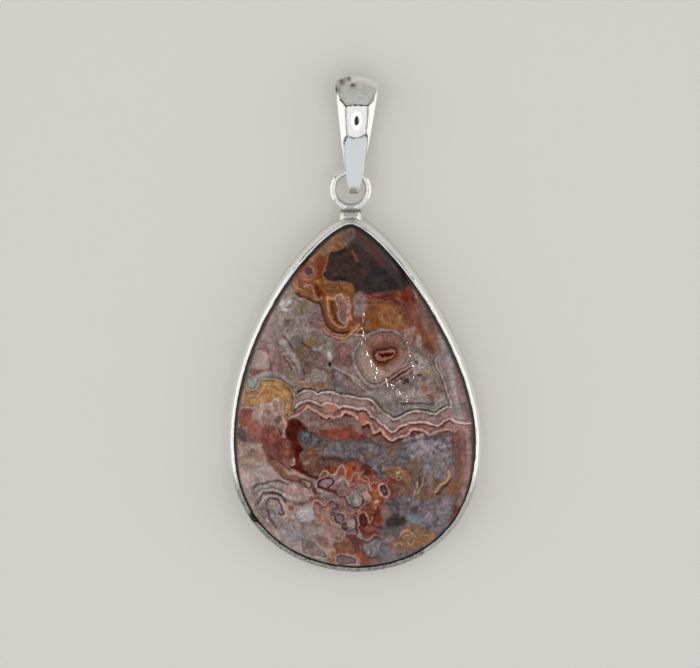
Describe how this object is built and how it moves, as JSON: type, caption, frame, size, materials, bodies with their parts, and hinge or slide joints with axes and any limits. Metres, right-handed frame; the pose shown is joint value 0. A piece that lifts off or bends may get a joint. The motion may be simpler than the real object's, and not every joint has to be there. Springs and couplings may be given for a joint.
{
  "type": "crazy lace agate pendant",
  "caption": "Teardrop cabochon of crazy lace agate in a silver bezel, lying on its back, with a hanging ring and a tapered bail that swings on it and takes a chain.",
  "frame": {"origin": "on the surface the pendant lies on, under the middle of its length and width", "axes": "+Y from the round end of the stone to the top of the bail, +Z out of the stone's face, +X to the right seen from the face"},
  "size_m": [0.0292, 0.0572, 0.0068],
  "materials": {
    "agate": "polished crazy lace agate",
    "silver": "polished sterling silver, tarnished in the corners"
  },
  "bodies": {
    "setting": {"cabochon": "agate", "bezel": "silver", "back_plate": "silver", "hanging_ring": "silver"},
    "bail": {"bail": "silver"}
  },
  "joints": [
    {"name": "bail_swing", "type": "hinge", "parent": "setting", "child": "bail", "pos_m": [-0.00005, 0.01732, 0.0027], "axis": [1, 0, 0], "range_deg": [-110, 105]}
  ]
}
